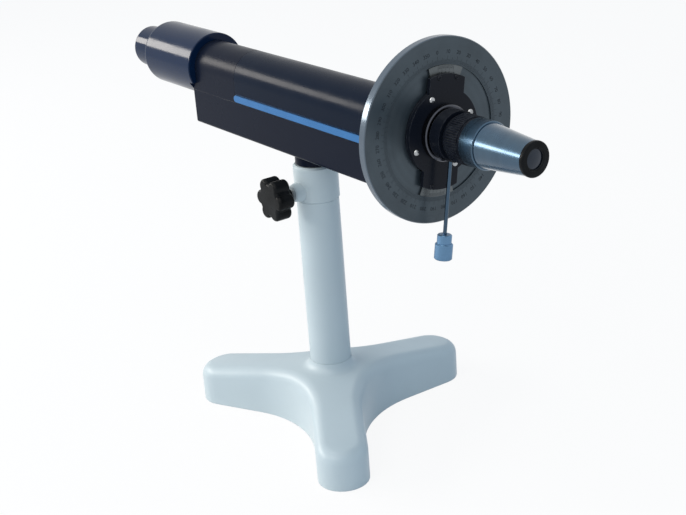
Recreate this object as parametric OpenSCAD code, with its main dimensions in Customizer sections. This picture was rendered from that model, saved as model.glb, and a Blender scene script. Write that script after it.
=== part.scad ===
// Half-shade polarimeter on a tripod stand.
// X runs along the optical tube towards the eyepiece, Z is up, and the column stands on the origin.

/* [Stand] */
// Height of the optical axis above the table
axis_h = 288; // [262:1:340]
// Distance from the column's axis to the tip of each leg
leg_reach = 129.8; // [110:0.1:150]
// Half width of a leg
leg_half_w = 21; // [18:0.1:22]
// Height of the casting at a leg's tip
leg_tip_h = 31; // [27:0.1:34]
// Height of the casting where the legs meet
hub_h = 47.5; // [42:0.5:52]
// Radius of the hollow curve between two legs
leg_fillet_r = 88; // [60:1:98]
// Radius of the casting's soft top edges
leg_edge_r = 9; // [6:0.5:10]
// Turn of the first leg about the column
leg_turn = -32; // [-60:0.25:60]
// Wall of the base casting
base_wall = 5; // [4:0.5:6]
// Outer radius of the column tube
column_r = 17.5; // [16.5:0.1:19]
// Wall of the column tube
column_wall = 2.5; // [2:0.1:3]
// Thickness of the floor that the column is bolted to
hub_floor = 6; // [5:0.5:8]
// Depth of the bolt recess under the hub
bolt_recess = 8; // [7.5:0.5:10]
// Radius of the bolt that holds the column
base_bolt_r = 5; // [4:0.5:6]

/* [Clamp] */
// Height of the clamp collar
collar_h = 30; // [25:1:32]
// How far the collar stands proud of the column
collar_lip = 0.8; // [0.4:0.1:1.5]
// Distance from the column's axis to the face of the collar's boss
boss_reach = 24.5; // [22:0.5:28]
// Radius of the boss at its face
boss_r = 7; // [6:0.5:8]
// Radius of the clamp screw
clamp_screw_r = 3; // [2.5:0.1:3.5]
// Outer radius of the clamp knob
knob_r = 18; // [15:0.5:19]
// Thickness of the clamp knob
knob_t = 14.5; // [12:0.5:16]
// Number of lobes on the clamp knob
knob_lobes = 6; // [5:1:7]
// Radius of the post that carries the optical head
post_r = 10; // [8:0.5:11]
// How much thinner the black neck is than the column, at the radius
neck_inset = 1.5; // [1:0.1:2]
// Height of the black neck between the collar and the body
neck_h = 9.5; // [8:0.5:16]

/* [Body] */
// Half width of the body and its covers
body_half_w = 21.5; // [20.5:0.1:23]
// Depth of the body below the optical axis
body_drop = 48.5; // [45:0.5:52]
// Depth of the covers' straight sides below the axis
cover_drop = 18.5; // [17.5:0.5:20]
// Wall of the body and its covers
body_wall = 3; // [2.5:0.1:3.5]
// Left end of the body
body_x0 = -150; // [-156:0.5:-146]
// Where the hinged lid meets the fixed cover
lid_x0 = -80; // [-84:0.5:-76]
// Room between a screw cap and the end wall of the trough
end_room = 7.25; // [5:0.25:10]
// Height of the lid's polished edge strip
strip_h = 6.6; // [5:0.1:8]
// How far the edge strip stands out
strip_out = 2; // [1.5:0.1:2.5]
// Radius of a hinge knuckle
knuckle_r = 2.2; // [2:0.1:2.6]
// Radius of a hinge pin
hinge_pin_r = 1.1; // [0.9:0.1:1.3]
// Length of one hinge
hinge_len = 36; // [30:1:42]

/* [Sample tube] */
// Length of the liquid column, between the two windows
sample_len = 200; // [180:1:203]
// Outer radius of the glass tube
glass_r = 8; // [7:0.1:9]
// Outer radius of the bubble trap
bulb_r = 12.6; // [11:0.1:13]
// Wall of the glass tube
glass_wall = 1.6; // [1.2:0.1:2]
// Room between a screw cap and the side wall of the trough
cap_room = 3.5; // [3:0.1:5]
// Thickness of a window
window_t = 2; // [1.5:0.1:2.5]

/* [Polariser] */
// Outer radius of the polariser drum
drum_r = 27.8; // [26:0.1:30]
// Rear end of the drum
drum_x0 = -226.4; // [-232:0.1:-220]
// How far the drum's front rim wraps the body
drum_wrap = 6; // [4:0.5:8]
// Radius of the drum's soft rear edge
drum_edge_r = 3.5; // [2:0.5:5]
// Wall of the drum
drum_wall = 3; // [2.5:0.1:3.5]
// Outer radius of the entry tube
entry_r = 18.6; // [17:0.1:19.5]
// Rear end of the entry tube
entry_x0 = -262.4; // [-268:0.1:-256]
// Outer radius of the polariser's cell
cell_r = 13.9; // [13:0.1:14.5]
// Width of the polariser's square prism
prism_w = 11; // [9:0.5:12]

/* [Dial] */
// Outer radius of the dial
dial_r = 66.6; // [60:0.1:70]
// Thickness of the dial at its rim
dial_t = 7; // [6:0.5:9]
// Radius where the dial's graduated ring begins
scale_r = 47; // [44:0.5:50]
// Depth of the dial's recessed middle
dial_recess = 1; // [0.8:0.1:1.5]
// Thickness of the flange behind the dial
flange_t = 3.5; // [3:0.5:5]
// Radius of the flange behind the dial
flange_r = 31; // [30:0.5:34]
// Radius of the circle of dial screws
dial_screw_ring_r = 26; // [25:0.5:28]
// Angle of the first dial screw
dial_screw_turn = 17; // [0:1:30]

/* [Analyser] */
// Turn of the analyser from upright at rest
analyser_turn = -8.5; // [-20:0.5:20]
// Outer radius of the analyser tube
analyser_r = 15; // [14:0.1:16]
// Width of the vernier arm
arm_w = 31; // [28:0.5:34]
// Reach of the vernier arm's black plate
arm_reach = 41; // [39:0.5:42]
// Thickness of the vernier arm
arm_t = 3; // [2.5:0.1:4]
// Inner radius of the vernier plates
vernier_r0 = 36; // [34:0.5:38]
// Half of the angle that a vernier plate spans
vernier_half_angle = 19; // [16:1:22]
// Radius of the hub plate that carries the vernier arm
hub_plate_r = 31; // [30:0.5:33]
// Thickness of the hub plate
hub_plate_t = 1.2; // [1:0.1:1.5]
// Radius of the circle of hub screws
hub_screw_ring_r = 26.5; // [25:0.5:27.5]
// Angle of the first hub screw
hub_screw_turn = 20; // [0:1:40]
// Radius of the hub ring
hub_ring_r = 20.2; // [19:0.1:22]
// Length of the hub ring
hub_ring_t = 5; // [4:0.5:6]
// Outer radius of the knurled collar
knurl_r = 17.4; // [17:0.1:18.5]
// Number of ridges round the knurled collar
knurl_count = 60; // [48:4:72]
// Radius of the lever
lever_r = 1.4; // [1.2:0.1:2]
// Distance from the axis to the lever knob
lever_reach = 71.5; // [70:0.5:80]
// Radius of the lever knob
lever_knob_r = 6.5; // [5.6:0.1:7.5]
// Length of the lever knob's body
lever_knob_len = 12; // [10:0.5:16]

/* [Eyepiece] */
// Outer radius of the polished telescope ring
barrel_r = 17; // [16.8:0.1:18]
// Radius of the telescope cone at its small end
cone_r = 12; // [11:0.1:12.4]
// Length of the telescope cone
cone_len = 40; // [36:0.5:44]
// Radius of the eyecup
eyecup_r = 12.4; // [12:0.1:13.5]
// Length of the eyecup
eyecup_len = 3; // [3:0.5:6]
// Travel of the eyepiece when it is focused
focus_travel = 8; // [6:0.5:9]

/* [Fits] */
// Radial clearance of a running fit
run_gap = 0.05; // [0.03:0.01:0.08]
// Clearance between faces that pass each other
pass_gap = 0.3; // [0.2:0.05:0.4]

/* [Hidden] */
$fn = 96;
tiny = 0.5;

// Heights of the stand, from the floor up
column_z0 = bolt_recess + hub_floor;
neck_z1 = axis_h - body_drop;
neck_z0 = neck_z1 - neck_h;
collar_z0 = neck_z0 - collar_h;
collar_r = column_r + collar_lip;
bore_r = column_r - column_wall;
collar_tail = 26;
neck_r = column_r - neck_inset;
post_len = 62;
boss_root_r = boss_r + 2;
clamp_z = collar_z0 + boss_root_r;
knob_y = boss_reach + 8.5;
knob_neck_len = 6;
pad_len = 4;
plug_h = 18;
bolt_head_h = 5.5;
washer_t = 1.6;

// Places along the tube
washer_thin = 1;
cap_end_t = 2.5;
body_x1 = lid_x0 + 2 * (body_wall + end_room + cap_end_t + washer_thin + window_t) + sample_len;
flange_x0 = body_x1;
dial_x0 = flange_x0 + flange_t;
dial_x1 = dial_x0 + dial_t;
recess_x = dial_x1 - dial_recess;
sleeve_r = analyser_r + run_gap + 4;
arm_x0 = dial_x1 + 0.5;
hub_x0 = arm_x0 + arm_t;
hub_x1 = hub_x0 + hub_ring_t;
lever_collar_x0 = hub_x1 + 1;
lever_collar_len = 10;
lever_x = lever_collar_x0 + 3;
lever_step = 1.2;
knurl_x0 = lever_collar_x0 + lever_collar_len + 2.5;
knurl_len = 16;
barrel_x0 = knurl_x0 + knurl_len;
barrel_len = 14;
cone_x0 = barrel_x0 + barrel_len;
cone_base_r = barrel_r - 1.2;
eyecup_x0 = cone_x0 + cone_len + pass_gap;
draw_r = cone_r - 2.5;
draw_grip = 12;
draw_wall = 1.5;
cup_face = 1.1;
eyecup_x1 = eyecup_x0 + eyecup_len;
draw_x0 = cone_x0 + cone_len - focus_travel - draw_grip;
vernier_r1 = scale_r - 0.2;
vernier_t = arm_x0 - recess_x - 0.15;
hub_plate_x0 = arm_x0 - hub_plate_t;
slot_w = 0.5;
slot_depth = 0.5;

// Places inside the body
lid_end_x = body_x1 - pass_gap;
cavity_x0 = lid_x0 + body_wall;
cavity_x1 = body_x1 - body_wall;
inner_half_w = body_half_w - body_wall;
cap_r = inner_half_w - cap_room;
cradle_r = cap_r + pass_gap;
cradle_wall = 1.3;
cradle_foot = 1.4;
deck_z = min(-cover_drop + 0.5, -(cradle_r + cradle_wall + cradle_foot));
deck_t = 1.5;
shelf_w = 3;
shelf_h = 3;
cradle_cut = 3 * cradle_r;
cradle_half_angle = 68;
tube_mid_x = (cavity_x0 + cavity_x1) / 2;
strip_lift = 1;
hinge_y = body_half_w + knuckle_r + pass_gap;
hinge_z = -cover_drop + 6;
leaf_t = 1;
leaf_h = 15;
leaf_clear = 1.5;
hinge_inset = 55;
hinge_xs = [lid_x0 + hinge_inset, body_x1 - hinge_inset];

// Places in the polariser
entry_wall = 4.4;
cell_x0 = drum_x0 + 28;
cell_x1 = body_x0 + body_wall + 4;
shade_t = 6;
shade_r = 15;

// Frames and shapes that repeat

// Turns a revolve or extrude so that its own Z runs along the tube, starting at x
module along_tube(x = 0) {
    translate([x, 0, axis_h]) rotate([0, 90, 0]) children();
}

// Extrudes a (y, z) outline drawn about the optical axis from x0 to x1
module section(x0, x1) {
    translate([x0, 0, axis_h]) rotate([90, 0, 90]) linear_extrude(x1 - x0) children();
}

// Revolves a polygon of (x, r) points about the optical axis
module turned(points) {
    translate([0, 0, axis_h]) rotate([0, 90, 0]) rotate_extrude()
        polygon([for (p = points) [p[1], p[0]]]);
}

// A plain ring or tube about the optical axis
module ring(x0, x1, outer, inner) {
    turned([[x0, inner], [x1, inner], [x1, outer], [x0, outer]]);
}

// Puts the children at the analyser's rest turn
module analyser_frame() {
    translate([0, 0, axis_h]) rotate([analyser_turn, 0, 0]) translate([0, 0, -axis_h]) children();
}

// An arch: a half circle on straight sides that reach drop below the axis
module arch(r, drop) {
    intersection() {
        circle(r);
        translate([-r, 0]) square([2 * r, r]);
    }
    translate([-r, -drop]) square([2 * r, drop]);
}

// A quarter round of radius e that leads from (x0, r0) along x and then out in r
function soft_corner(x, r, e, from, to) =
    [for (i = [0:4]) let (a = from + (to - from) * i / 4) [x + e * cos(a), r + e * sin(a)]];

// Outline of the tripod: tip arcs and hollow fillets, each point as [x, y, normal angle]
leg_steps = 14;
function leg_tip(a) = (leg_reach - leg_half_w) * [cos(a), sin(a)];
function fillet_mid(a) = (leg_half_w + leg_fillet_r) / sin(60) * [cos(a + 60), sin(a + 60)];
function tip_arc(a) = [for (i = [0:leg_steps]) let (t = a - 90 + 180 * i / leg_steps)
    concat(leg_tip(a) + leg_half_w * [cos(t), sin(t)], [t])];
function fillet_arc(a) = [for (i = [0:leg_steps]) let (t = a + 90 - 60 * i / leg_steps)
    concat(fillet_mid(a) - leg_fillet_r * [cos(t), sin(t)], [t])];
tripod_outline = [for (k = [0:2]) let (a = leg_turn + 120 * k) each concat(tip_arc(a), fillet_arc(a))];

// Height of the casting's top at distance r from the column
hub_flat_r = column_r + 8.5;
function top_at(r) =
    hub_h - (hub_h - leg_tip_h) * max(0, r - hub_flat_r) / (leg_reach - hub_flat_r);
function flat_r(p) = norm([p[0], p[1]]);

// Rings of the casting's skin, from below the floor to the lip round the column
edge_steps = 5;
slope_steps = 4;
blend_steps = 4;
hub_blend = 8;
function edge_point(p, a) = let (
        d = leg_edge_r * (1 - cos(a)),
        q = [p[0] - d * cos(p[2]), p[1] - d * sin(p[2])])
    [q[0], q[1], top_at(flat_r(q)) - leg_edge_r * (1 - sin(a))];
function slope_point(p, t) = let (
        q = edge_point(p, 90), r = flat_r(q), s = 1 + (hub_flat_r / r - 1) * t)
    [q[0] * s, q[1] * s, top_at(r * s)];
function blend_point(p, a) = let (
        q = edge_point(p, 90), r = flat_r(q),
        s = (hub_flat_r - hub_blend * sin(a)) / r)
    [q[0] * s, q[1] * s, hub_h + hub_blend * (1 - cos(a))];
tripod_rings = concat(
    [[for (p = tripod_outline) [p[0], p[1], -2]]],
    [for (i = [0:edge_steps]) [for (p = tripod_outline) edge_point(p, 90 * i / edge_steps)]],
    [for (i = [1:slope_steps]) [for (p = tripod_outline) slope_point(p, i / slope_steps)]],
    [for (i = [1:blend_steps]) [for (p = tripod_outline) blend_point(p, 90 * i / blend_steps)]]
);

// A closed skin through rings of points, each ring with as many points
module skin(rings) {
    n = len(rings[0]);
    m = len(rings);
    polyhedron(
        points = [for (ring_points = rings) each ring_points],
        faces = concat(
            [[for (i = [0:n - 1]) i]],
            [for (j = [0:m - 2]) for (i = [0:n - 1]) let (k = (i + 1) % n)
                [j * n + i, (j + 1) * n + i, (j + 1) * n + k, j * n + k]],
            [[for (i = [n - 1:-1:0]) (m - 1) * n + i]]
        )
    );
}

// Stand

module tripod_base() color("ghostwhite") difference() {
    skin(tripod_rings);
    translate([-2 * leg_reach, -2 * leg_reach, -hub_h]) cube([4 * leg_reach, 4 * leg_reach, hub_h]);
    translate([0, 0, column_z0]) cylinder(h = hub_h, r = column_r + run_gap);
    translate([0, 0, -1]) cylinder(h = bolt_recess + 1, r = 15);
    translate([0, 0, -1]) cylinder(h = hub_h, r = base_bolt_r + run_gap);
    for (k = [0:2]) rotate(leg_turn + 120 * k) leg_pocket();
}

// The hollow under one leg
module leg_pocket() {
    pocket_w = leg_half_w - base_wall;
    tip = leg_reach - leg_half_w;
    translate([0, 0, -1]) linear_extrude(leg_tip_h - leg_edge_r) {
        translate([34, -pocket_w]) square([tip - 34, 2 * pocket_w]);
        translate([tip, 0]) circle(pocket_w);
    }
}

module column() color("ghostwhite") translate([0, 0, column_z0]) difference() {
    cylinder(h = collar_z0 - column_z0, r = column_r);
    translate([0, 0, -1]) cylinder(h = collar_z0, r = bore_r);
}

module column_plug() color("silver") translate([0, 0, column_z0]) difference() {
    cylinder(h = plug_h, r = bore_r - run_gap);
    translate([0, 0, -1]) cylinder(h = plug_h + 2, r = base_bolt_r + run_gap);
}

module base_bolt() color("silver") {
    head_z = bolt_recess - washer_t - bolt_head_h;
    translate([0, 0, head_z]) cylinder(h = bolt_head_h, r = base_bolt_r * 1.75, $fn = 6);
    translate([0, 0, head_z]) cylinder(h = bolt_head_h + washer_t + hub_floor + plug_h - 2, r = base_bolt_r);
}

module base_washer() color("silver") translate([0, 0, bolt_recess - washer_t]) difference() {
    cylinder(h = washer_t, r = base_bolt_r * 2);
    translate([0, 0, -1]) cylinder(h = washer_t + 2, r = base_bolt_r + run_gap);
}

// Clamp

module clamp_collar() color("ghostwhite") difference() {
    union() {
        translate([0, 0, collar_z0]) rotate_extrude() polygon([
            [0, -collar_tail], [bore_r - run_gap, -collar_tail], [bore_r - run_gap, 0],
            [collar_r - 1, 0], [collar_r, 1], [collar_r, collar_h - 1.5],
            [collar_r - 1.5, collar_h], [0, collar_h]]);
        translate([0, 0, clamp_z]) rotate([90, 0, 0]) rotate_extrude() polygon([
            [0, 0], [boss_root_r, 0], [boss_root_r, column_r - 3], [boss_r, boss_reach - 1],
            [boss_r - 1, boss_reach], [0, boss_reach]]);
    }
    translate([0, 0, collar_z0 - collar_tail - 1])
        cylinder(h = collar_tail + collar_h + 2, r = post_r + run_gap);
    translate([0, 0, clamp_z]) rotate([90, 0, 0])
        cylinder(h = boss_reach + 1, r = clamp_screw_r + run_gap);
}

// Turns a revolve so that its own Z runs out of the collar's boss
module along_clamp(y) {
    translate([0, 0, clamp_z]) rotate([90, 0, 0]) translate([0, 0, y]) children();
}

module clamp_pad() color("gold") along_clamp(post_r + pass_gap)
    cylinder(h = pad_len, r = clamp_screw_r);

module clamp_screw() color("dimgray") {
    screw_y = post_r + pass_gap + pad_len;
    screw_len = knob_y + knob_t - 3 - screw_y;
    along_clamp(screw_y) rotate_extrude() polygon([
        [0, 0], [clamp_screw_r - 0.7, 0], [clamp_screw_r, 0.7],
        [clamp_screw_r, screw_len], [0, screw_len]]);
}

// One rounded puck of the knob's moulding
module knob_puck(r, soft) {
    rotate_extrude() intersection() {
        union() {
            square([r - soft, knob_t]);
            translate([0, soft]) square([r, knob_t - 2 * soft]);
            translate([r - soft, soft]) circle(soft, $fn = 32);
            translate([r - soft, knob_t - soft]) circle(soft, $fn = 32);
        }
        square([r, knob_t]);
    }
}

module clamp_knob() color("black") {
    lobe_r = knob_r * 0.34;
    translate([0, -knob_y, clamp_z]) rotate([90, 0, 0]) difference() {
        union() {
            knob_puck(knob_r - lobe_r * 0.62, 3);
            for (k = [0:knob_lobes - 1]) rotate(360 / knob_lobes * k)
                translate([knob_r - lobe_r, 0]) knob_puck(lobe_r, 2.5);
            translate([0, 0, -knob_neck_len]) cylinder(h = knob_neck_len + 3, r1 = 5, r2 = 7);
        }
        translate([0, 0, -knob_neck_len - 1])
            cylinder(h = knob_neck_len + knob_t - 2.6 + 1, r = clamp_screw_r + run_gap);
    }
}

module head_post() color("silver") translate([0, 0, neck_z0]) rotate_extrude() polygon([
    [0, -post_len], [post_r - 1.5, -post_len], [post_r, -post_len + 1.5],
    [post_r, neck_h - 3], [0, neck_h - 3]]);

module neck_block() color("black") translate([0, 0, neck_z0]) difference() {
    rotate_extrude() polygon([
        [0, 0], [neck_r - 1, 0], [neck_r, 1], [neck_r, neck_h], [0, neck_h]]);
    translate([0, 0, -1]) cylinder(h = neck_h - 3 + 1, r = post_r + run_gap);
}

// Body

// The lower body's outline, with soft bottom edges
module body_outline() {
    soft = 2.5;
    translate([-body_half_w, -body_drop + soft])
        square([2 * body_half_w, body_drop - soft - cover_drop]);
    translate([-body_half_w + soft, -body_drop]) square([2 * (body_half_w - soft), soft + 1]);
    for (s = [-1, 1]) translate([s * (body_half_w - soft), -body_drop + soft]) circle(soft, $fn = 48);
}

// The room inside the lower body, with a shelf on each side under the deck
module body_room() {
    shelf_z = deck_z - deck_t;
    translate([-inner_half_w, -body_drop + body_wall])
        square([2 * inner_half_w, body_drop - body_wall + shelf_z - shelf_h]);
    translate([-inner_half_w + shelf_w, shelf_z - shelf_h - 1])
        square([2 * (inner_half_w - shelf_w), shelf_h + 2]);
    translate([-inner_half_w, shelf_z]) square([2 * inner_half_w, body_drop]);
}

module body_casting() color("black") difference() {
    section(body_x0, body_x1) body_outline();
    section(cavity_x0, cavity_x1) body_room();
    section(body_x0 + body_wall, lid_x0) body_room();
}

module polariser_cover() color("black") difference() {
    section(body_x0, lid_x0) arch(body_half_w, cover_drop);
    section(body_x0 + body_wall, lid_x0 - shade_t) arch(inner_half_w, cover_drop + 1);
    along_tube(body_x0 - 1) cylinder(h = body_wall + 2, r = cell_r + run_gap);
    along_tube(lid_x0 - shade_t - 1) cylinder(h = shade_t + 2, r = shade_r + run_gap);
}

module deck_plate() color("dimgray") section(cavity_x0 + tiny, cavity_x1 - tiny)
    translate([-inner_half_w + run_gap, deck_z - deck_t])
        square([2 * (inner_half_w - run_gap), deck_t]);

module tube_cradle() color("goldenrod") {
    section(cavity_x0 + tiny, cavity_x1 - tiny) difference() {
        union() {
            circle(cradle_r + cradle_wall);
            translate([-4, deck_z]) square([8, -deck_z - cradle_r]);
        }
        circle(cradle_r);
        for (s = [-1, 1]) rotate(s * (90 - cradle_half_angle))
            translate([-(s + 1) * cradle_cut, 0]) square([2 * cradle_cut, cradle_cut]);
        translate([-cradle_cut, -cradle_r * cos(cradle_half_angle)]) square(2 * cradle_cut);
        translate([-cradle_cut, deck_z - cradle_cut]) square([2 * cradle_cut, cradle_cut]);
    }
}

// Lid

module lid() color("black") section(lid_x0 + pass_gap, lid_end_x) difference() {
    arch(body_half_w, cover_drop - pass_gap);
    arch(inner_half_w, cover_drop + 1);
}

module lid_edge_strip() color("steelblue") {
    strip_z = -cover_drop + strip_lift + strip_h / 2;
    strip_x0 = lid_x0 + pass_gap + strip_h / 2;
    translate([0, -body_half_w, axis_h + strip_z]) intersection() {
        union() {
            translate([strip_x0, 0, 0]) rotate([0, 90, 0])
                cylinder(h = lid_end_x - strip_x0, r = strip_h / 2);
            translate([strip_x0, 0, 0]) sphere(strip_h / 2);
        }
        translate([lid_x0, -strip_out, -strip_h]) cube([lid_end_x - lid_x0, strip_out, 2 * strip_h]);
    }
}

// Places the children at the middle of each hinge
module at_hinges() {
    for (x = hinge_xs) translate([x, 0, axis_h]) children();
}

// One knuckle with its bore, centred at x
module knuckle(x, len) {
    translate([x - len / 2, hinge_y, hinge_z]) rotate([0, 90, 0]) cylinder(h = len, r = knuckle_r);
}

module pin_bore(r) {
    translate([-hinge_len / 2 - 1, hinge_y, hinge_z]) rotate([0, 90, 0])
        cylinder(h = hinge_len + 2, r = r);
}

module hinge_fixed_leaves() color("black") at_hinges() difference() {
    union() {
        for (s = [-1, 1]) {
            knuckle(s * hinge_len / 3, hinge_len / 3 - pass_gap);
            translate([s * hinge_len / 3 - hinge_len / 6 + pass_gap / 2, body_half_w, hinge_z - leaf_h])
                cube([hinge_len / 3 - pass_gap, leaf_t, leaf_h]);
        }
        translate([-hinge_len / 2 + pass_gap / 2, body_half_w, hinge_z - leaf_h])
            cube([hinge_len - pass_gap, leaf_t, leaf_h - knuckle_r - leaf_clear]);
    }
    pin_bore(hinge_pin_r + run_gap);
}

module hinge_lid_leaves() color("black") at_hinges() difference() {
    union() {
        knuckle(0, hinge_len / 3 - pass_gap);
        translate([-hinge_len / 6 + pass_gap / 2, body_half_w, hinge_z])
            cube([hinge_len / 3 - pass_gap, leaf_t, leaf_h]);
        translate([-hinge_len / 2 + pass_gap / 2, body_half_w, hinge_z + knuckle_r + leaf_clear])
            cube([hinge_len - pass_gap, leaf_t, leaf_h - knuckle_r - leaf_clear]);
    }
    pin_bore(hinge_pin_r + run_gap);
}

module hinge_pins() color("silver") at_hinges()
    translate([-hinge_len / 2, hinge_y, hinge_z]) rotate([0, 90, 0])
        cylinder(h = hinge_len, r = hinge_pin_r);

// Polariser

module polariser_drum() color("black") difference() {
    turned(concat(
        [[drum_x0, cell_r + run_gap]],
        soft_corner(drum_x0 + drum_edge_r, drum_r - drum_edge_r, drum_edge_r, 180, 90),
        soft_corner(body_x0 + drum_wrap - 1, drum_r - 1, 1, 90, 0),
        [[body_x0 + drum_wrap, body_half_w / 2], [body_x0, body_half_w / 2], [body_x0, cell_r + run_gap],
         [body_x0 - drum_wall, cell_r + run_gap], [body_x0 - drum_wall, drum_r - drum_wall],
         [drum_x0 + drum_wall, drum_r - drum_wall], [drum_x0 + drum_wall, cell_r + run_gap]]));
    section(body_x0, body_x0 + drum_wrap + 1) {
        arch(body_half_w, cover_drop);
        body_outline();
    }
    translate([body_x0, -drum_r - 1, axis_h - drum_r - 1]) cube([drum_wrap + 1, 2 * drum_r + 2, drum_r - 11]);
}

module entry_tube() color("black") turned(concat(
    [[entry_x0 + 2, entry_r - entry_wall - 1], [entry_x0, entry_r - entry_wall - 1]],
    soft_corner(entry_x0 + 1.5, entry_r - 1.5, 1.5, 180, 90),
    [[drum_x0, entry_r], [drum_x0, cell_r], [drum_x0 + 14, cell_r], [drum_x0 + 14, cell_r - 2],
     [entry_x0 + 12, cell_r - 2], [entry_x0 + 12, entry_r - entry_wall],
     [entry_x0 + 2, entry_r - entry_wall]]));

// A lens with two equal bulged faces on a plain rim
lens_steps = 8;
function lens_bulge(r, rim_r, bulge) = bulge * (1 - pow(r / rim_r, 2));
module lens(x, rim_r, rim_t, bulge) {
    radii = [for (i = [0:lens_steps]) rim_r * i / lens_steps];
    turned(concat(
        [for (r = radii) [x - rim_t / 2 - lens_bulge(r, rim_r, bulge), r]],
        [for (i = [lens_steps:-1:0]) [x + rim_t / 2 + lens_bulge(radii[i], rim_r, bulge), radii[i]]]));
}

module condenser_lens() color("azure")
    lens(entry_x0 + 5, entry_r - entry_wall - run_gap, 2.4, 1.6);

module lens_ring() color("dimgray")
    ring(entry_x0 + 6.8, entry_x0 + 9.4, entry_r - entry_wall - run_gap, entry_r - entry_wall - 2);

module polariser_cell() color("goldenrod") difference() {
    along_tube(cell_x0) cylinder(h = cell_x1 - cell_x0, r = cell_r);
    section(cell_x0 - 1, cell_x1 + 1) square(prism_w + 2 * run_gap, center = true);
}

// A calcite prism cut along its diagonal and cemented with a thin gap
module split_prism(x0, len, w) {
    cut = 0.1;
    translate([x0, 0, axis_h]) rotate([90, 0, 0]) for (s = [0, 1])
        translate([len / 2, 0, 0]) rotate(180 * s) translate([-len / 2, 0, 0])
            linear_extrude(w, center = true) polygon([
                [0, -w / 2], [len - 2 - cut, -w / 2], [0, w / 2 - 2 * w / len - cut]]);
}

module polariser_prism() color("azure") split_prism(cell_x0 + 8, 30, prism_w);

module half_shade_cell() color("goldenrod") difference() {
    along_tube(lid_x0 - shade_t) cylinder(h = shade_t, r = shade_r);
    along_tube(lid_x0 - shade_t - 1) cylinder(h = shade_t + 2, r = 8);
    along_tube(lid_x0 - 3) cylinder(h = 4, r = 10);
}

module half_shade_plates() color("azure") difference() {
    along_tube(lid_x0 - 3) cylinder(h = 1.8, r = 10 - run_gap);
    translate([lid_x0 - 4, -run_gap, axis_h - 11]) cube([4, 2 * run_gap, 22]);
}

// Sample tube

tube_x0 = tube_mid_x - sample_len / 2;
tube_x1 = tube_mid_x + sample_len / 2;
bulb_x = tube_x1 - 36;
bulb_len = 26;
fitting_len = 18;
fitting_r = glass_r + (cap_r - glass_r) * 4 / 7;
function bulb_at(x, r) = r + (bulb_r - glass_r) * (1 + cos(180 * (x - bulb_x) / (bulb_len / 2))) / 2;

module sample_tube() color("azure") turned(concat(
    [[tube_x0, glass_r]],
    [for (i = [0:16]) let (x = bulb_x - bulb_len / 2 + bulb_len * i / 16) [x, bulb_at(x, glass_r)]],
    [[tube_x1, glass_r], [tube_x1, glass_r - glass_wall]],
    [for (i = [16:-1:0]) let (x = bulb_x - bulb_len / 2 + bulb_len * i / 16)
        [x, bulb_at(x, glass_r - glass_wall)]],
    [[tube_x0, glass_r - glass_wall]]));

// Repeats the children, drawn for the right end, at both ends of the tube
module both_ends() {
    for (s = [0, 1]) translate([tube_mid_x, 0, 0]) mirror([s, 0, 0])
        translate([-tube_mid_x, 0, 0]) children();
}

module tube_end_fittings() color("gold") both_ends() turned([
    [tube_x1 - fitting_len, glass_r + run_gap], [tube_x1, glass_r + run_gap], [tube_x1, fitting_r],
    [tube_x1 - fitting_len + 6, fitting_r], [tube_x1 - fitting_len, (glass_r + fitting_r) / 2]]);

module tube_windows() color("azure") both_ends()
    along_tube(tube_x1) cylinder(h = window_t, r = fitting_r - 1);

module tube_washers() color("maroon") both_ends()
    ring(tube_x1 + window_t, tube_x1 + window_t + washer_thin, fitting_r - 1, glass_r - 1);

module tube_caps() color("gold") both_ends() {
    end_x = tube_x1 + window_t + washer_thin;
    turned([
        [tube_x1 - 9, fitting_r + run_gap], [end_x, fitting_r + run_gap], [end_x, glass_r - 2],
        [end_x + cap_end_t, glass_r - 2], [end_x + cap_end_t, cap_r - 1],
        [end_x + cap_end_t - 1, cap_r], [tube_x1 - 8.5, cap_r], [tube_x1 - 9, cap_r - 0.5]]);
}

// Dial

// Repeats the children at each dial screw
module at_dial_screws(x) {
    for (k = [0:3]) translate([x, 0, axis_h]) rotate([dial_screw_turn + 90 * k, 0, 0])
        translate([0, dial_screw_ring_r, 0]) rotate([0, 90, 0]) children();
}

module front_bearing() color("black") difference() {
    union() {
        ring(flange_x0, dial_x0, flange_r, analyser_r + run_gap);
        ring(flange_x0, recess_x, sleeve_r, analyser_r + run_gap);
    }
    at_dial_screws(flange_x0 - 1) cylinder(h = flange_t + 2, r = 1.5 + run_gap);
}

module dial() color("slategray") difference() {
    turned([
        [dial_x0, sleeve_r + run_gap], [dial_x0, dial_r - 1], [dial_x0 + 1, dial_r],
        [dial_x1 - 0.8, dial_r], [dial_x1, dial_r - 0.8], [dial_x1, scale_r],
        [recess_x, scale_r], [recess_x, sleeve_r + run_gap]]);
    at_dial_screws(dial_x0 - 1) cylinder(h = dial_t + 2, r = 1.5 + run_gap);
    at_dial_screws(recess_x - 1.6) cylinder(h = 1.7, r1 = 1.5 + run_gap, r2 = 3.2 + run_gap);
}

// The slot of a screw head whose top is at z
module slot(z, r, turn) {
    rotate(turn) translate([-slot_w / 2, -r, z - slot_depth]) cube([slot_w, 2 * r, 1]);
}

module dial_screws() color("silver") at_dial_screws(flange_x0 + 0.5) difference() {
    length = recess_x - flange_x0 - 0.6;
    union() {
        cylinder(h = length, r = 1.5);
        translate([0, 0, length - 1.5]) cylinder(h = 1.5, r1 = 1.5, r2 = 3);
    }
    slot(length, 4, 35);
}

// Analyser

// Repeats the children at each hub screw
module at_hub_screws(x) {
    for (k = [0:3]) translate([x, 0, axis_h]) rotate([hub_screw_turn + 90 * k, 0, 0])
        translate([0, hub_screw_ring_r, 0]) rotate([0, 90, 0]) children();
}

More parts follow.
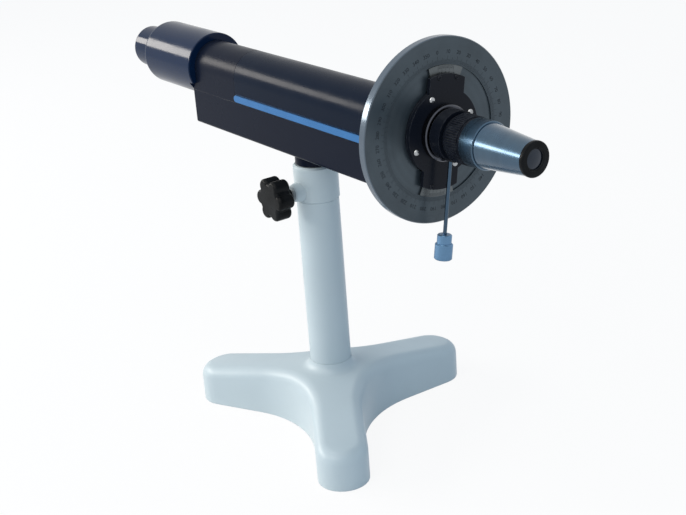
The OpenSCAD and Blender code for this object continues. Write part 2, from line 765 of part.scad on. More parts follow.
module analyser_tube() color("black") difference() {
    turned([
        [flange_x0 + 0.3, analyser_r - 2], [barrel_x0 - 1, analyser_r - 2], [barrel_x0 - 1, analyser_r],
        [arm_x0, analyser_r], [arm_x0, hub_plate_r], [hub_plate_x0, hub_plate_r],
        [hub_plate_x0, analyser_r], [flange_x0 + 0.3, analyser_r]]);
    at_hub_screws(hub_plate_x0 - 1) cylinder(h = hub_plate_t + 2, r = 1.2 + run_gap);
}

module analyser_cell() color("goldenrod") difference() {
    along_tube(flange_x0 + 1) cylinder(h = 36, r = analyser_r - 2 - run_gap);
    analyser_frame() section(flange_x0, flange_x0 + 40) square(prism_w + 2 * run_gap, center = true);
}

module analyser_prism() color("azure") analyser_frame() split_prism(flange_x0 + 4, 30, prism_w);

module vernier_arm() color("black") difference() {
    analyser_frame() section(arm_x0, hub_x0) difference() {
        union() {
            circle(hub_plate_r);
            intersection() {
                circle(arm_reach);
                square([arm_w, 2 * arm_reach], center = true);
            }
        }
        circle(analyser_r + run_gap);
        for (s = [-1, 1]) for (t = [-1, 1]) translate([t * arm_w / 4, s * (arm_reach - 2.6)])
            circle(1 + run_gap);
    }
    at_hub_screws(arm_x0 - 1) cylinder(h = arm_t + 2, r = 1.2 + run_gap);
}

module hub_screws() color("silver") at_hub_screws(hub_plate_x0) difference() {
    shank = arm_t + hub_plate_t;
    union() {
        cylinder(h = shank, r = 1.2);
        translate([0, 0, shank]) rotate_extrude() intersection() {
            translate([0, -1]) circle(2.5, $fn = 48);
            square([3, 1.5]);
        }
    }
    slot(shank + 1.5, 3, 60);
}

module vernier_plates() color("gainsboro") analyser_frame()
    section(arm_x0 - vernier_t, arm_x0) for (s = [0, 180]) rotate(s) difference() {
        intersection() {
            circle(vernier_r1);
            polygon([[0, 0], for (t = [-1, 1])
                2 * scale_r * [sin(-t * vernier_half_angle), cos(vernier_half_angle)]]);
        }
        circle(vernier_r0);
        for (t = [-1, 1]) translate([t * arm_w / 4, arm_reach - 2.6]) circle(1 + run_gap);
    }

module vernier_screws() color("silver") analyser_frame()
    for (s = [-1, 1]) for (t = [-1, 1])
        translate([arm_x0 - vernier_t + 0.1, t * arm_w / 4, axis_h + s * (arm_reach - 2.6)])
            rotate([0, 90, 0]) difference() {
                length = arm_t + vernier_t - 0.1;
                union() {
                    cylinder(h = length, r = 1);
                    translate([0, 0, length]) cylinder(h = 0.8, r1 = 1.9, r2 = 1.4);
                }
                slot(length + 0.8, 3, 20);
            }

module hub_ring() color("black") turned([
    [hub_x0, analyser_r + run_gap], [hub_x0, hub_ring_r], [hub_x1 - 0.8, hub_ring_r],
    [hub_x1, hub_ring_r - 0.8], [hub_x1, analyser_r + run_gap]]);

module lever_collar() color("black") difference() {
    ring(lever_collar_x0, lever_collar_x0 + lever_collar_len,
         knurl_r + 0.8, analyser_r + run_gap);
    analyser_frame() translate([lever_x, 0, axis_h]) rotate([180, 0, 0])
        cylinder(h = 40, r = lever_r + run_gap);
}

module lever_rod() color("silver") analyser_frame() translate([lever_x, 0, axis_h])
    rotate([180, 0, 0]) translate([0, 0, analyser_r + 0.5])
        cylinder(h = lever_reach + 8 - analyser_r, r = lever_r);

module lever_knob() color("lightsteelblue") analyser_frame() translate([lever_x, 0, axis_h])
    rotate([180, 0, 0]) translate([0, 0, lever_reach]) rotate_extrude() polygon([
        [lever_r + run_gap, 0], [lever_knob_r - lever_step - 0.6, 0], [lever_knob_r - lever_step, 0.6],
        [lever_knob_r - lever_step, 6.5], [lever_knob_r - 0.8, 6.5], [lever_knob_r, 7.3],
        [lever_knob_r, 5.7 + lever_knob_len], [lever_knob_r - 0.8, 6.5 + lever_knob_len],
        [0, 6.5 + lever_knob_len], [0, 9], [lever_r + run_gap, 9]]);

// Outline of a knurled ring: straight ridges, two points each
module knurl_outline(r, count, depth) {
    polygon([for (k = [0:count - 1]) for (q = [[0, 0], [0.45, 0], [0.72, 1]])
        (r - depth * q[1]) * [cos(360 * (k + q[0]) / count), sin(360 * (k + q[0]) / count)]]);
}

module knurled_collar() color("black") difference() {
    union() {
        along_tube(knurl_x0 + 2) linear_extrude(knurl_len - 4) knurl_outline(knurl_r, knurl_count, 0.6);
        ring(knurl_x0, knurl_x0 + knurl_len, knurl_r - 1, analyser_r + run_gap);
    }
    along_tube(knurl_x0 - 1) cylinder(h = knurl_len + 2, r = analyser_r + run_gap);
}

// Eyepiece

module telescope_barrel() color("silver") turned([
    [barrel_x0 - 1, analyser_r - 4], [barrel_x0 - 1, analyser_r], [barrel_x0, analyser_r],
    [barrel_x0, barrel_r - 0.6], [barrel_x0 + 0.6, barrel_r], [cone_x0 - 0.6, barrel_r],
    [cone_x0, barrel_r - 0.6], [cone_x0, cone_base_r], [cone_x0 + cone_len, cone_r],
    [cone_x0 + cone_len, draw_r + run_gap], [cone_x0 + 10, draw_r + run_gap],
    [cone_x0 + 10, analyser_r - 4]]);

module objective_lens() color("azure") lens(barrel_x0 + 6, analyser_r - 4 - run_gap, 2.4, 1.4);

module draw_tube() color("silver") turned([
    [draw_x0, draw_r - draw_wall], [draw_x0, draw_r], [eyecup_x1 - cup_face - 0.1, draw_r],
    [eyecup_x1 - cup_face - 0.1, draw_r - draw_wall]]);

module field_lens() color("azure") lens(draw_x0 + 3, draw_r - draw_wall - run_gap, 1.2, 0.9);

module eye_lens() color("azure")
    lens(eyecup_x1 - cup_face - 1.5, draw_r - draw_wall - run_gap, 1.6, 1.2);

module eyecup() color("black") turned(concat(
    [[eyecup_x0, draw_r + run_gap]],
    soft_corner(eyecup_x0 + 0.5, eyecup_r - 0.5, 0.5, 180, 90),
    soft_corner(eyecup_x1 - 1.2, eyecup_r - 1.2, 1.2, 90, 0),
    [[eyecup_x1, draw_r - draw_wall], [eyecup_x1 - cup_face, draw_r - 2.6],
     [eyecup_x1 - cup_face, draw_r + run_gap]]));

tripod_base();
column();
column_plug();
base_bolt();
base_washer();
clamp_collar();
clamp_pad();
clamp_screw();
clamp_knob();
head_post();
neck_block();
body_casting();
polariser_cover();
deck_plate();
tube_cradle();
lid();
lid_edge_strip();
hinge_fixed_leaves();
hinge_lid_leaves();
hinge_pins();
polariser_drum();
entry_tube();
condenser_lens();
lens_ring();
polariser_cell();
polariser_prism();
half_shade_cell();
half_shade_plates();
sample_tube();
tube_end_fittings();
tube_caps();
tube_windows();
tube_washers();
front_bearing();
dial();
dial_screws();
analyser_tube();
analyser_cell();
analyser_prism();
vernier_arm();
vernier_plates();
vernier_screws();
hub_screws();
hub_ring();
lever_collar();
lever_rod();
lever_knob();
knurled_collar();
telescope_barrel();
objective_lens();
draw_tube();
field_lens();
eye_lens();
eyecup();
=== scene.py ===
"""Dresses a half-shade polarimeter and sets a plain studio round it.

Lengths are in metres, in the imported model's own frame: X runs along the optical tube towards the
eyepiece, Z is up, and the column stands on the origin.
"""

from __future__ import annotations

import logging
import math
from dataclasses import dataclass
from enum import Enum
from typing import Any, Iterable, Sequence, Union

import bmesh
import bpy
from mathutils import Matrix, Vector

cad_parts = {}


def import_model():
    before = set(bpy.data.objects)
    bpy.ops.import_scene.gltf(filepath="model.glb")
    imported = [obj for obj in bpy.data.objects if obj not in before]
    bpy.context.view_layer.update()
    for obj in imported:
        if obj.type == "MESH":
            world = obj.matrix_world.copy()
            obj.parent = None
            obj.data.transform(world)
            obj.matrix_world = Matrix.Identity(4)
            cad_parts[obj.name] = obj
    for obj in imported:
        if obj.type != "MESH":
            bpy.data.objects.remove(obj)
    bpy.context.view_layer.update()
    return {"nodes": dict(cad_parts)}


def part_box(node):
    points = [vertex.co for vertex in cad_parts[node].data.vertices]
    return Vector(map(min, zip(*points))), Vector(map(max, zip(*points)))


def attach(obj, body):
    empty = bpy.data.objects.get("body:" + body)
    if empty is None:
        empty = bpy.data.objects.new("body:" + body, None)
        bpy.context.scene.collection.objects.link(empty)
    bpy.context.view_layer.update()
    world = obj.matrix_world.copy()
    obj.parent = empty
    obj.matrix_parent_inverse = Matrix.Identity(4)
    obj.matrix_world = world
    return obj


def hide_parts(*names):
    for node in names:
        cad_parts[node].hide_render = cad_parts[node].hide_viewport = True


LOG = logging.getLogger("polarimeter")

Colour = tuple[float, float, float]
Value = Union[float, Sequence[float], bpy.types.NodeSocket]

MM = 0.001
WHITE: Colour = (1.0, 1.0, 1.0)

# The optical axis, the lever on it, and how far the photograph shows the analyser turned
AXIS_HEIGHT = 288 * MM
LEVER_X = 174.5 * MM
ANALYSER_TURN = math.radians(-8.5)

# Vertices closer than DOUBLES are merged, and edges sharper than CREASE stay sharp
DOUBLES = 0.002 * MM
CREASE = math.radians(34)

# How finely a shader looks for edges, and how far a normal leans off an edge and on it
EDGE_SAMPLES = 4
SOFT_SAMPLES = 6
EDGE_LEVELS = (0.995, 0.9)

# The levels that most of a noise pattern lies between, and those of two patterns added up
NOISE_LEVELS = (0.3, 0.7)
SUM_LEVELS = (0.4, 1.6)

# The share of a font's size that its figures stand high
FIGURE_SHARE = 0.7

# The rays that see the surround as a white backdrop, not as a soft fill
SEEN_RAYS = ("Is Camera Ray", "Is Glossy Ray", "Is Transmission Ray")


class Axis(Enum):
    """The line that a turned piece was turned about: a point on it and its direction."""

    TUBE = ((0.0, 0.0, AXIS_HEIGHT), (1.0, 0.0, 0.0))
    COLUMN = ((0.0, 0.0, 0.0), (0.0, 0.0, 1.0))
    LEVER = (
        (LEVER_X, 0.0, AXIS_HEIGHT),
        (0.0, math.sin(-ANALYSER_TURN), math.cos(ANALYSER_TURN)),
    )


@dataclass(frozen=True)
class Pattern:
    """A noise pattern: its waves in a metre and how many finer layers it has."""

    scale: float
    detail: float


@dataclass(frozen=True)
class Cloud(Pattern):
    """A noise pattern, stretched out between two of its levels.

    Attributes:
        low: The level that counts as 0.
        high: The level that counts as 1.
    """

    low: float
    high: float


def toned(colour: Colour, share: float, lift: float = 0.0) -> Colour:
    """Returns a colour made darker or paler by a share, and lifted by a little grey."""
    return tuple(part * share + lift for part in colour)


class Graph:
    """One material's node tree, built a step at a time around a Principled shader."""

    def __init__(self, name: str) -> None:
        """Starts an empty tree.

        Args:
            name: The material's name.
        """
        self.material = bpy.data.materials.new(name)
        self.material.use_nodes = True
        tree = self.material.node_tree
        self.nodes, self.links = tree.nodes, tree.links
        self.nodes.clear()
        output = self.nodes.new("ShaderNodeOutputMaterial")
        self.shader = self.nodes.new("ShaderNodeBsdfPrincipled")
        self.links.new(self.shader.outputs[0], output.inputs[0])
        self.place = self.nodes.new("ShaderNodeTexCoord").outputs["Object"]

    def feed(self, node: bpy.types.Node, inputs: dict[Any, Value]) -> None:
        """Sets or links a node's inputs.

        Args:
            node: The node to feed.
            inputs: Socket names or numbers, each with a value or the socket that feeds it.
        """
        for key, value in inputs.items():
            if isinstance(value, bpy.types.NodeSocket):
                self.links.new(value, node.inputs[key])
            elif node.inputs[key].type == "RGBA":
                node.inputs[key].default_value = (*value[:3], 1.0)
            else:
                node.inputs[key].default_value = value

    def step(
        self, kind: str, inputs: dict[Any, Value], out: int = 0, **settings: Any
    ) -> bpy.types.NodeSocket:
        """Adds a node.

        Args:
            kind: The node's type.
            inputs: What feeds it.
            out: Which output to return.
            **settings: The node's own properties.

        Returns:
            The chosen output socket.
        """
        node = self.nodes.new(kind)
        for key, value in settings.items():
            setattr(node, key, value)
        self.feed(node, inputs)
        return node.outputs[out]

    def shade(self, **inputs: Value) -> None:
        """Feeds the shader, with a low line in a name for each space of the socket's name."""
        self.feed(self.shader, {k.replace("_", " "): v for k, v in inputs.items()})

    def math(self, operation: str, a: Value, b: Value = 0.0) -> bpy.types.NodeSocket:
        """Returns the result of a sum on two values."""
        return self.step("ShaderNodeMath", {0: a, 1: b}, operation=operation)

    def vector(self, operation: str, a: Value, b: Value, out: int = 0) -> bpy.types.NodeSocket:
        """Returns the result of a sum on two vectors, with out 1 for a number."""
        return self.step("ShaderNodeVectorMath", {0: a, 1: b}, out, operation=operation)

    def noise(self, pattern: Pattern, vector: Value | None = None) -> bpy.types.NodeSocket:
        """Adds a noise pattern.

        Args:
            pattern: Its waves and layers.
            vector: The coordinates it reads, or the piece's own.

        Returns:
            The pattern, from 0 to 1.
        """
        place = self.place if vector is None else vector
        inputs = {"Vector": place, "Scale": pattern.scale, "Detail": pattern.detail}
        return self.step("ShaderNodeTexNoise", inputs)

    def stretched(self, scales: Sequence[float]) -> bpy.types.NodeSocket:
        """Returns the piece's coordinates, scaled differently along each axis."""
        return self.vector("MULTIPLY", self.place, scales)

    def lathe(self, axis: Axis) -> bpy.types.NodeSocket:
        """Finds a point's place on a lathe.

        Args:
            axis: What the piece was turned about.

        Returns:
            A vector of the distance along the axis and the distance from it.
        """
        origin, direction = axis.value
        arm = self.vector("SUBTRACT", self.place, origin)
        along = self.vector("DOT_PRODUCT", arm, direction, 1)
        across = self.vector("CROSS_PRODUCT", arm, direction)
        radius = self.vector("LENGTH", across, (0.0, 0.0, 0.0), 1)
        return self.step("ShaderNodeCombineXYZ", {0: along, 1: radius})

    def remap(
        self, value: Value, low: float, high: float, to_low: float = 0.0, to_high: float = 1.0
    ) -> bpy.types.NodeSocket:
        """Returns a value carried from one range to another and held inside it."""
        return self.step(
            "ShaderNodeMapRange", {0: value, 1: low, 2: high, 3: to_low, 4: to_high}
        )

    def cloud(
        self, cloud: Cloud, to_low: float = 0.0, to_high: float = 1.0
    ) -> bpy.types.NodeSocket:
        """Returns a noise pattern carried from its two levels to a range."""
        return self.remap(self.noise(cloud), cloud.low, cloud.high, to_low, to_high)

    def mix(self, share: Value, a: Value, b: Value) -> bpy.types.NodeSocket:
        """Returns colour a turned towards colour b by a share."""
        return self.step("ShaderNodeMix", {0: share, 6: a, 7: b}, 2, data_type="RGBA")

    def edges(self, radius: float) -> bpy.types.NodeSocket:
        """Marks the outer edges of a piece.

        Args:
            radius: How wide the marked band is.

        Returns:
            1 along an edge, and 0 on open faces.
        """
        soft = self.step("ShaderNodeBevel", {"Radius": radius}, samples=EDGE_SAMPLES)
        true = self.step("ShaderNodeNewGeometry", {}, 1)
        return self.remap(self.vector("DOT_PRODUCT", soft, true, 1), *EDGE_LEVELS)

    def bump(
        self, height: Value, depth: float, soft_edge: float = 0.0
    ) -> bpy.types.NodeSocket:
        """Turns a height pattern into a normal.

        Args:
            height: The pattern.
            depth: How deep it is.
            soft_edge: The radius that sharp edges are softened by.

        Returns:
            The surface's normal.
        """
        inputs = {"Height": height, "Distance": depth, "Strength": 1.0}
        if soft_edge:
            inputs["Normal"] = self.step(
                "ShaderNodeBevel", {"Radius": soft_edge}, samples=SOFT_SAMPLES
            )
        return self.step("ShaderNodeBump", inputs)


@dataclass(frozen=True)
class Finish:
    """A surface finish.

    Attributes:
        slot: Its name, which is the record's material slot wherever the record has it.
        colour: Its main colour.
    """

    slot: str
    colour: Colour

    def material(self) -> bpy.types.Material:
        """Builds the finish's material."""
        graph = Graph(self.slot)
        self.paint(graph)
        return graph.material

    def paint(self, graph: Graph) -> None:
        """Adds the finish to a new graph."""
        raise NotImplementedError


@dataclass(frozen=True)
class Enamel(Finish):
    """Stoved paint on metal, with a faint orange peel, worn edges and a little dust.

    Attributes:
        roughness: How matt it is.
        specular: How much it reflects.
        peel: The orange peel's pattern.
        peel_depth: The orange peel's depth.
        edge_radius: The radius that its sharp edges are softened by.
        shading: Where it is a little darker.
        shade_share: How much of the colour is left there.
        chips: Where its edges are worn.
        worn: The colour of worn edges.
        worn_w: The width of worn edges.
        wear: How strongly they show.
        specks: The dust's pattern.
        dust: The dust's colour.
        dust_share: How much dust lies on it.
        dust_from: How level a face is before dust settles on it, with 1 for level.
        smudges: Where its gloss changes.
        smudge_span: How much is added to the roughness there.
    """

    roughness: float = 0.25
    specular: float = 0.5
    peel: Pattern = Pattern(420.0, 1.5)
    peel_depth: float = 0.012 * MM
    edge_radius: float = 0.45 * MM
    shading: Cloud = Cloud(11.0, 4.0, 0.35, 0.65)
    shade_share: float = 0.92
    chips: Cloud = Cloud(260.0, 4.0, 0.42, 0.62)
    worn: Colour = (0.2, 0.2, 0.2)
    worn_w: float = 0.5 * MM
    wear: float = 0.35
    specks: Pattern = Pattern(90.0, 5.0)
    dust: Colour = (0.3, 0.3, 0.29)
    dust_share: float = 0.1
    dust_from: float = 0.6
    smudges: Cloud = Cloud(35.0, 3.0, 0.35, 0.7)
    smudge_span: tuple[float, float] = (-0.04, 0.06)

    def paint(self, graph: Graph) -> None:
        """Adds the paint to a new graph."""
        deep = toned(self.colour, self.shade_share)
        colour = graph.mix(graph.cloud(self.shading), deep, self.colour)
        worn = graph.math("MULTIPLY", graph.edges(self.worn_w), graph.cloud(self.chips))
        colour = graph.mix(graph.math("MULTIPLY", worn, self.wear), colour, self.worn)
        facing = graph.step("ShaderNodeNewGeometry", {}, 1)
        up = graph.step("ShaderNodeSeparateXYZ", {0: facing}, 2)
        settled = graph.math("MULTIPLY", graph.remap(up, self.dust_from, 1.0),
                             graph.noise(self.specks))
        dust = graph.math("MULTIPLY", settled, self.dust_share)
        colour = graph.mix(dust, colour, self.dust)
        smudge = graph.cloud(self.smudges, *self.smudge_span)
        rough = graph.math("ADD", graph.math("ADD", smudge, self.roughness), dust)
        normal = graph.bump(graph.noise(self.peel), self.peel_depth, self.edge_radius)
        graph.shade(Base_Color=colour, Roughness=rough, Normal=normal)
        graph.shade(Specular_IOR_Level=self.specular)


@dataclass(frozen=True)
class TurnedMetal(Finish):
    """Metal off a lathe: fine rings about an axis, with clouds of light tarnish, which on the
    eyepiece barrel are painted blue reflection.

    Attributes:
        axis: What the piece was turned about.
        roughness: How matt it is.
        metallic: How far it reflects as metal does, from 0 to 1.
        grooves: The pattern of the fine rings.
        groove_depth: Their depth.
        bands: The pattern of the broad rings.
        band_shade: How much of the colour is left in the darkest of them.
        tarnish: The colour of the tarnish, and on the eyepiece barrel a blue that is painted
            reflection.
        tarnish_and_sheen_share: How strongly it shows.
        clouds: Where the tarnish and the painted reflection lie.
        gloss_span: The shares of the roughness that the glossiest and the dullest place have.
        coat: The share of a clear coat over it.
        coat_roughness: How matt that coat is.
        bore: The radius of a dark bore, or 0 for none.
        bore_blend: Half the width of the change there.
        bore_colour: The colour inside.
        bore_roughness: What is added to the roughness inside.
        rim: The radius that a brighter rim starts from, or 0 for none.
        rim_blend: Half the width of the change there.
        rim_colour: The colour of the rim.
        rim_gloss: The share of the roughness that the rim has.
    """

    axis: Axis = Axis.TUBE
    roughness: float = 0.3
    metallic: float = 1.0
    grooves: Pattern = Pattern(2600.0, 3.0)
    groove_depth: float = 0.004 * MM
    bands: Pattern = Pattern(2600.0 / 14, 2.0)
    band_shade: float = 0.86
    tarnish: Colour = (0.3, 0.27, 0.22)
    tarnish_and_sheen_share: float = 0.25
    clouds: Cloud = Cloud(45.0, 5.0, 0.4, 0.75)
    gloss_span: tuple[float, float] = (0.75, 1.35)
    coat: float = 0.0
    coat_roughness: float = 0.16
    bore: float = 0.0
    bore_blend: float = 0.1 * MM
    bore_colour: Colour = (0.006, 0.006, 0.007)
    bore_roughness: float = 0.5
    rim: float = 0.0
    rim_blend: float = 0.15 * MM
    rim_colour: Colour = (0.11, 0.14, 0.175)
    rim_gloss: float = 0.5

    def paint(self, graph: Graph) -> None:
        """Adds the metal to a new graph."""
        place = graph.lathe(self.axis)
        rings = graph.noise(self.grooves, place)
        bands = graph.noise(self.bands, place)
        cloud = graph.cloud(self.clouds)
        tone = graph.remap(bands, *NOISE_LEVELS, self.band_shade, 1.0)
        colour = graph.vector("SCALE", self.colour, (0.0, 0.0, 0.0))
        graph.links.new(tone, colour.node.inputs["Scale"])
        # Clouds of tarnish; on the eyepiece barrel their blue is painted reflection of a blue
        # surround
        colour = graph.mix(graph.math("MULTIPLY", cloud, self.tarnish_and_sheen_share), colour, self.tarnish)
        finest, coarsest = (self.roughness * share for share in self.gloss_span)
        rough = graph.remap(graph.math("ADD", rings, cloud), *SUM_LEVELS, finest, coarsest)
        radius = graph.step("ShaderNodeSeparateXYZ", {0: place}, 1)
        if self.rim:
            edge = graph.remap(radius, self.rim - self.rim_blend, self.rim + self.rim_blend)
            colour = graph.mix(edge, colour, self.rim_colour)
            gloss = graph.remap(edge, 0.0, 1.0, 1.0, self.rim_gloss)
            rough = graph.math("MULTIPLY", rough, gloss)
        if self.bore:
            inside = graph.remap(radius, self.bore + self.bore_blend, self.bore - self.bore_blend)
            colour = graph.mix(inside, colour, self.bore_colour)
            matt = graph.math("MULTIPLY", inside, self.bore_roughness)
            rough = graph.math("ADD", rough, matt)
        normal = graph.bump(rings, self.groove_depth)
        graph.shade(Base_Color=colour, Roughness=rough, Normal=normal, Metallic=self.metallic)
        graph.shade(Coat_Weight=self.coat, Coat_Roughness=self.coat_roughness)


@dataclass(frozen=True)
class BrushedMetal(Finish):
    """Metal drawn over an abrasive belt, so that its fine lines run one way.

    Attributes:
        lines: The pattern of the lines.
        line_scales: How closely they lie along each axis.
        roughness: How matt it is.
        line_depth: The depth of the lines.
        clouds: Where it is a little darker.
        cloud_share: How strongly that shows.
        shade_share: How much of the colour is left there.
        gloss_span: The shares of the roughness that the glossiest and the dullest line have.
    """

    lines: Pattern = Pattern(1.0, 4.0)
    line_scales: tuple[float, float, float] = (60.0, 2600.0, 2600.0)
    roughness: float = 0.28
    line_depth: float = 0.003 * MM
    clouds: Cloud = Cloud(40.0, 4.0, 0.35, 0.7)
    cloud_share: float = 0.6
    shade_share: float = 0.82
    gloss_span: tuple[float, float] = (0.7, 1.3)

    def paint(self, graph: Graph) -> None:
        """Adds the metal to a new graph."""
        lines = graph.noise(self.lines, graph.stretched(self.line_scales))
        dull = graph.math("MULTIPLY", graph.cloud(self.clouds), self.cloud_share)
        colour = graph.mix(dull, self.colour, toned(self.colour, self.shade_share))
        finest, coarsest = (self.roughness * share for share in self.gloss_span)
        rough = graph.remap(lines, *NOISE_LEVELS, finest, coarsest)
        normal = graph.bump(lines, self.line_depth)
        graph.shade(Base_Color=colour, Roughness=rough, Normal=normal, Metallic=1.0)


@dataclass(frozen=True)
class MouldedPlastic(Finish):
    """Black moulded plastic with a soft gloss and a trace of grain.

    Attributes:
        roughness: How matt it is where the grain is finest.
        specular: How much it reflects.
        mottle: Where it is a little paler.
        pale: The share and the lift of the colour there.
        grain: The pattern of the grain.
        grain_roughness: What the coarsest grain adds to the roughness.
        pits: The pattern of the pits.
        pit_depth: Their depth.
        spots: Where its edges are worn.
        worn: The colour of worn edges.
        worn_w: The width of worn edges.
        wear: How strongly they show.
    """

    roughness: float = 0.22
    specular: float = 0.4
    mottle: Cloud = Cloud(70.0, 3.0, 0.4, 0.7)
    pale: tuple[float, float] = (1.7, 0.003)
    grain: Cloud = Cloud(420.0, 4.0, 0.3, 0.7)
    grain_roughness: float = 0.12
    pits: Pattern = Pattern(900.0, 2.0)
    pit_depth: float = 0.006 * MM
    spots: Pattern = Pattern(300.0, 3.0)
    worn: Colour = (0.16, 0.16, 0.17)
    worn_w: float = 0.6 * MM
    wear: float = 0.2

    def paint(self, graph: Graph) -> None:
        """Adds the plastic to a new graph."""
        pale = toned(self.colour, *self.pale)
        colour = graph.mix(graph.cloud(self.mottle), self.colour, pale)
        worn = graph.math("MULTIPLY", graph.edges(self.worn_w), graph.noise(self.spots))
        colour = graph.mix(graph.math("MULTIPLY", worn, self.wear), colour, self.worn)
        rough = graph.cloud(self.grain, self.roughness, self.roughness + self.grain_roughness)
        normal = graph.bump(graph.noise(self.pits), self.pit_depth)
        graph.shade(Base_Color=colour, Roughness=rough, Normal=normal)
        graph.shade(Specular_IOR_Level=self.specular)


@dataclass(frozen=True)
class ClearGlass(Finish):
    """Polished or drawn glass, clear with a faint tint.

    Attributes:
        ripple: The depth of its draw lines, or 0 for polished glass.
        index: How strongly it bends light.
        smears: Where it is smeared.
        smear_roughness: How matt the smears are.
        draw: The pattern of the draw lines.
        draw_scales: How closely they lie along each axis.
    """

    ripple: float = 0.0
    index: float = 1.5
    smears: Cloud = Cloud(120.0, 3.0, 0.45, 0.75)
    smear_roughness: float = 0.05
    draw: Pattern = Pattern(1.0, 2.0)
    draw_scales: tuple[float, float, float] = (12.0, 500.0, 500.0)

    def paint(self, graph: Graph) -> None:
        """Adds the glass to a new graph."""
        rough = graph.cloud(self.smears, 0.0, self.smear_roughness)
        draw = graph.noise(self.draw, graph.stretched(self.draw_scales))
        normal = graph.bump(draw, self.ripple)
        graph.shade(Base_Color=self.colour, Roughness=rough, Normal=normal)
        graph.shade(Transmission_Weight=1.0, IOR=self.index)


@dataclass(frozen=True)
class CoatedLens(Finish):
    """A polished lens with a blue coating and faint smears, opaque and near black: painted shade
    for the dark tube seen through it.

    Attributes:
        roughness: How matt it is where it is clean.
        coating: The tint of its reflections.
        specular: How much it reflects.
        smears: Where it is smeared.
        smeared: The share and the lift of the colour there.
        smear_roughness: What a smear adds to the roughness.
        polish: The pattern of its polishing marks.
        polish_depth: Their depth.
    """

    roughness: float = 0.03
    coating: Colour = (0.7, 0.82, 1.0)
    specular: float = 0.5
    smears: Cloud = Cloud(160.0, 3.0, 0.4, 0.75)
    smeared: tuple[float, float] = (1.6, 0.003)
    smear_roughness: float = 0.06
    polish: Pattern = Pattern(300.0, 1.0)
    polish_depth: float = 0.001 * MM

    def paint(self, graph: Graph) -> None:
        """Adds the lens glass to a new graph."""
        smear = graph.cloud(self.smears)
        colour = graph.mix(smear, self.colour, toned(self.colour, *self.smeared))
        roughest = self.roughness + self.smear_roughness
        rough = graph.remap(smear, 0.0, 1.0, self.roughness, roughest)
        normal = graph.bump(graph.noise(self.polish), self.polish_depth)
        graph.shade(Base_Color=colour, Roughness=rough, Normal=normal)
        graph.shade(Specular_IOR_Level=self.specular, Specular_Tint=self.coating)


@dataclass(frozen=True)
class SoftRubber(Finish):
    """Soft washer rubber, matt and slightly mottled.

    Attributes:
        bloom: Where it is paler.
        pale: The share and the lift of the colour there.
        roughness_span: How matt it is where it is darkest and where it is palest.
        grain: The pattern of its grain.
        grain_depth: The grain's depth.
    """

    bloom: Cloud = Cloud(220.0, 4.0, 0.4, 0.7)
    pale: tuple[float, float] = (1.4, 0.02)
    roughness_span: tuple[float, float] = (0.65, 0.85)
    grain: Pattern = Pattern(1500.0, 3.0)
    grain_depth: float = 0.02 * MM

    def paint(self, graph: Graph) -> None:
        """Adds the rubber to a new graph."""
        bloom = graph.cloud(self.bloom)
        colour = graph.mix(bloom, self.colour, toned(self.colour, *self.pale))
        rough = graph.remap(bloom, 0.0, 1.0, *self.roughness_span)
        normal = graph.bump(graph.noise(self.grain), self.grain_depth)
        graph.shade(Base_Color=colour, Roughness=rough, Normal=normal)


